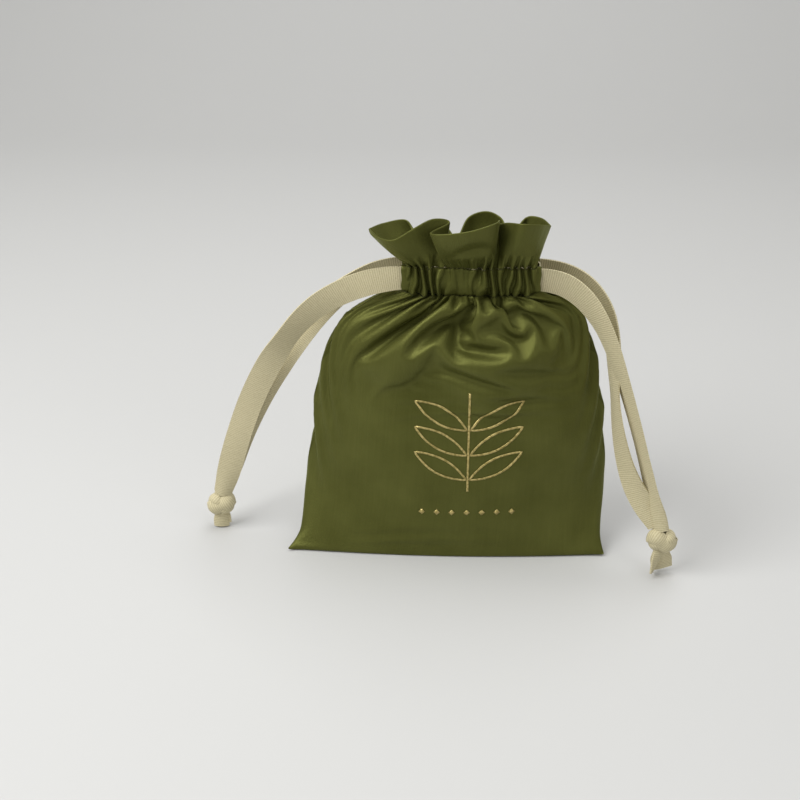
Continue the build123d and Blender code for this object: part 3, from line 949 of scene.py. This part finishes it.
def ribbon_piece(name, strips, material):
    """One piece from several ribbons, with sharp woven edges."""
    verts, faces, uvs = [], [], []
    for some_verts, some_faces, some_uvs in strips:
        faces += [[k + len(verts) for k in face] for face in some_faces]
        verts += some_verts
        uvs += some_uvs
    piece = new_piece(name, [v * MM for v in verts], faces, material, uvs)
    tidy = bmesh.new()
    tidy.from_mesh(piece.data)
    bmesh.ops.recalc_face_normals(tidy, faces=tidy.faces)
    for edge in tidy.edges:
        edge.smooth = edge.calc_face_angle(0.0) < SHARP_ANGLE
    tidy.to_mesh(piece.data)
    tidy.free()
    return piece


def knot_at(box_name, lean, body):
    """An overhand knot pulled tight: two crossing wraps and a smaller turn between them."""
    low, high = (Vector(p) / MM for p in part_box(box_name))
    middle, size = (low + high) / 2, high - low
    strips = []
    wraps = ((lean, 0.0, 6.6, 1.5, 1.0), (-lean * 1.1, 0.5, 5.4, 1.3, 0.88), (lean * 0.2, 0.9, 4.2, 1.0, 0.80))
    for tilt, around, width, cup, grow in wraps:
        tip = math.radians(tilt)
        axis = Vector((-math.sin(tip), 0.12, math.cos(tip))).normalized()
        flat_x = Vector((math.cos(tip), 0, math.sin(tip)))
        flat_y = axis.cross(flat_x)
        points, sides = [], []
        for k in range(40):
            a = 2 * math.pi * k / 40 + around
            radius = 1 + 0.09 * math.sin(2 * a + 1) + 0.05 * math.sin(5 * a)
            points.append(middle + radius * grow * (flat_x * (size.x / 2 - 0.4) * math.cos(a)
                                                    + flat_y * (size.y / 2 - 0.2) * math.sin(a))
                          + axis * 0.5 * math.sin(2 * a))
            sides.append(axis)
        strips.append(ribbon(points, sides, [width] * 40, [cup] * 40, closed=True))
    return finish_piece(ribbon_piece(f"{box_name}_ribbon", strips, grosgrain), body, "ribbon", box_name)


def cut_ends(box_name, ends, body):
    """The short cut ends below a knot: each a tongue of ribbon that opens out from the knot."""
    low, high = (Vector(p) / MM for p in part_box(box_name))
    top = Vector(((low.x + high.x) / 2, (low.y + high.y) / 2, high.z + 1.2))
    strips = []
    for shift, depth, foot, turn, cup, wide in ends:
        points, sides, widths, cups = [], [], [], []
        for k in range(14):
            share = k / 13
            points.append(top + Vector((shift * share ** 1.3, depth * (0.3 + 0.7 * share),
                                        (low.z + foot - top.z) * share)))
            angle = math.radians(turn * (0.4 + 0.6 * share))
            sides.append(Vector((math.cos(angle), math.sin(angle), 0)))
            widths.append(4.6 + (wide - 4.6) * smooth(share * 1.5) + 0.25 * math.sin(4 * share))
            cups.append(1.4 * (1 - share) + cup * share)
        strips.append(ribbon(points, sides, widths, cups))
    return finish_piece(ribbon_piece(f"{box_name}_ribbon", strips, grosgrain), body, "ribbon", box_name)


# each cut end: shift sideways and back, height of its foot, turn in degrees, cup, and width
LEFT_ENDS = [(-0.3, -0.9, 0.4, 8, 0.9, 6.6), (1.2, 1.0, 1.6, -20, -0.6, 6.0)]
RIGHT_ENDS = [(-2.6, -1.0, 0.4, 68, 0.5, 6.5), (1.4, 0.7, 0.8, 12, 0.4, 8.6)]
knots = {
    side: [knot_at(f"{side}_knot", lean, f"{side}_tails"), cut_ends(f"{side}_knot_ends", ends, f"{side}_tails")]
    for side, lean, ends in (("left", 34, LEFT_ENDS), ("right", -30, RIGHT_ENDS))
}

for side_name, way, mouth_x in MOUTHS:
    lead_strips = []
    for lane_name, lane in LANES:
        name = f"{side_name}_{lane_name}"
        begin = (mouth_x - way * LEAD_BACK, lane, RIBBON_Z)
        line = stations(smooth_line(f"{name}_line", [begin, *ROUTES[name]]), TAIL_STATIONS)
        sideways, widths, cups = [], [], []
        for k, here in enumerate(line):
            share = k / (TAIL_STATIONS - 1)
            along = Vector(line[min(k + 1, TAIL_STATIONS - 1)] - line[max(k - 1, 0)]).normalized()
            flat = along.cross(Vector((0, 1, 0))).normalized()
            turn = math.radians(way * float(np.interp(share, *zip(*TURNS[name]))))
            sideways.append(flat * math.cos(turn) + along.cross(flat) * math.sin(turn))
            widths.append(RIBBON_WIDTH * float(np.interp(share, *zip(*WIDTHS))))
            cups.append(float(np.interp(share, *zip(*CUPS))))
        widths, cups = softened(widths).tolist(), softened(cups).tolist()
        around = np.array([list(v) for v in sideways])
        for k in range(3):
            around[:, k] = softened(around[:, k])
        tail = ribbon_piece(f"{name}_ribbon", [ribbon(line, around.tolist(), widths, cups)], grosgrain)
        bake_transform(tail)
        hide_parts(f"{name}_tail")
        inner = mouth_x - way * LEAD_INNER
        run = [Vector((inner + (begin[0] - inner) * k / 11, lane, RIBBON_Z)) for k in range(12)]
        lead_strips.append(ribbon(run, [around[0].tolist()] * 12, [widths[0]] * 12, [cups[0]] * 12))
    leads = ribbon_piece(f"{side_name}_lead_ribbons", lead_strips, grosgrain)
    finish_piece(leads, f"{side_name}_ribbon", "ribbon", f"{side_name}_ribbon_leads")


LOOP_WIDTH = 3.9
LOOP_SHIFT = 2.1


def ribbon_loop(name, loop_z, mirrored):
    """The ribbon that stays in the casing, creased over: along the front, round the far mouth and back."""
    front = [(NECK_X + x, y + 2.2 if abs(x) < 23 else y, z) for _, x, y, z in CASING_FRONT[1:-1]]
    turn = NECK_RIGHT + 1.8
    points = [*front[:-1], (turn - 1.6, -4.0, 0), (turn, -2.0, 0), (turn, 2.0, 0), (turn - 1.6, 4.0, 0)]
    points += [(x, -y, z) for x, y, z in front[-2::-1]]
    if mirrored:
        points = [(2 * NECK_X - x, y, z) for x, y, z in points]
    line = stations(smooth_line(name, [(x, y, loop_z) for x, y, z in points]), 90)
    strip = ribbon(line, [(0, 0, 1)] * 90, [LOOP_WIDTH] * 90, [0.3] * 90)
    return finish_piece(ribbon_piece(f"{name}_strip", [strip], grosgrain), "sack", "ribbon", name)


ribbon_loop("left_ribbon_loop", RIBBON_Z + LOOP_SHIFT, False)
ribbon_loop("right_ribbon_loop", RIBBON_Z - LOOP_SHIFT, True)


# ---------------------------------------------------------------- the casing's four mouths
# the sleeve's section: distance out from the mouth, half height, half width
SLEEVE_RINGS = [
    (-2.6, 5.1, 2.05), (0.6, 5.2, 1.8), (1.5, 5.2, 1.7), (1.8, 5.05, 1.5), (1.5, 4.8, 1.25), (-1.5, 4.85, 1.35),
]


def mouth_sleeve(name, x, lane, way):
    """The hemmed end of a casing, round the ribbon: a short flat sleeve of cloth."""
    verts, faces = [], []
    count = 28
    for run, high, wide in SLEEVE_RINGS:
        for q in range(count):
            a = 2 * math.pi * q / count
            c, s = math.cos(a), math.sin(a)
            ruffle = 0.18 * math.sin(5 * a + x)
            verts.append(Vector((x + way * (run + ruffle),
                                 lane + wide * math.copysign(abs(c) ** 0.6, c) + 0.12 * math.sin(7 * a),
                                 RIBBON_Z + high * math.copysign(abs(s) ** 0.9, s))))
    for k in range(len(SLEEVE_RINGS)):
        for q in range(count):
            a, b = k * count + q, k * count + (q + 1) % count
            n = (k + 1) % len(SLEEVE_RINGS) * count
            faces.append([a, b, n + (q + 1) % count, n + q])
    sleeve = joined(name, [(verts, faces)], satin)
    fine = sleeve.modifiers.new("fine", "SUBSURF")
    fine.levels = fine.render_levels = 1
    apply_modifiers(sleeve)
    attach(sleeve, "sack")


for side_name, way, mouth_x in MOUTHS:
    for lane_name, lane in LANES:
        mouth_sleeve(f"{side_name}_{lane_name}_mouth", mouth_x, lane, way)


# ---------------------------------------------------------------- camera, light and floor
def look_at(thing, target):
    thing.rotation_euler = (Vector(target) - thing.location).to_track_quat("-Z", "Y").to_euler()


CAMERA_TARGET = Vector((-0.0194, 0.0, 0.062))
CAMERA_AWAY = 0.516
CAMERA_AZIMUTH, CAMERA_ELEVATION = math.radians(2), math.radians(28)
back_of_view = Vector((
    math.sin(CAMERA_AZIMUTH) * math.cos(CAMERA_ELEVATION),
    -math.cos(CAMERA_AZIMUTH) * math.cos(CAMERA_ELEVATION),
    math.sin(CAMERA_ELEVATION),
))
camera = bpy.data.objects.new("camera", bpy.data.cameras.new("camera"))
bpy.context.scene.collection.objects.link(camera)
camera.data.sensor_width = 36
camera.data.lens = 58
camera.location = CAMERA_TARGET + back_of_view * CAMERA_AWAY
look_at(camera, CAMERA_TARGET)
bpy.context.scene.camera = camera


def area_light(name, place_at, size, power):
    """A softbox that faces the middle of the sack."""
    light = bpy.data.lights.new(name, "AREA")
    light.shape = "RECTANGLE"
    light.size, light.size_y = size
    light.energy = power
    lamp = bpy.data.objects.new(name, light)
    bpy.context.scene.collection.objects.link(lamp)
    lamp.location = place_at
    look_at(lamp, (0, 0, 0.06))


area_light("softbox_left", (-0.55, -0.30, 0.75), (0.6, 0.6), 7.6)
area_light("softbox_top", (0.15, 0.15, 1.1), (1.0, 0.8), 8.0)
area_light("fill_right", (0.8, -0.7, 0.5), (0.6, 0.6), 1.3)

world = bpy.data.worlds.new("studio")
world.use_nodes = True
world.node_tree.nodes["Background"].inputs["Color"].default_value = (1.0, 0.99, 0.97, 1)
world.node_tree.nodes["Background"].inputs["Strength"].default_value = 0.355
bpy.context.scene.world = world
bpy.context.scene.view_settings.view_transform = "Standard"


FLOOR_REACH = 3.0
FLOOR_FLAT = 0.55
BACKDROP_BEND = 0.5


def studio_floor():
    """A pale floor that curves up into a backdrop."""
    profile = [(-FLOOR_REACH, 0.0), (FLOOR_FLAT, 0.0)]
    for a in np.linspace(0.1, math.pi / 2, 12):
        profile.append((FLOOR_FLAT + BACKDROP_BEND * math.sin(a), BACKDROP_BEND * (1 - math.cos(a))))
    profile.append((FLOOR_FLAT + BACKDROP_BEND, FLOOR_REACH))
    points = [(x, y, z) for y, z in profile for x in (-FLOOR_REACH, FLOOR_REACH)]
    faces = [(2 * k, 2 * k + 1, 2 * k + 3, 2 * k + 2) for k in range(len(profile) - 1)]
    material, tree, shader = node_material("pale_floor")
    speck = add_node(tree, "ShaderNodeTexNoise")
    speck.inputs["Scale"].default_value = 3
    ramp = add_node(tree, "ShaderNodeValToRGB")
    ramp.color_ramp.elements[0].color = (0.50, 0.50, 0.49, 1)
    ramp.color_ramp.elements[1].color = (0.54, 0.54, 0.53, 1)
    tree.links.new(speck.outputs["Fac"], ramp.inputs["Fac"])
    tree.links.new(ramp.outputs["Color"], shader.inputs["Base Color"])
    shader.inputs["Roughness"].default_value = 0.55
    floor = new_piece("studio_floor", points, faces, material)


studio_floor()
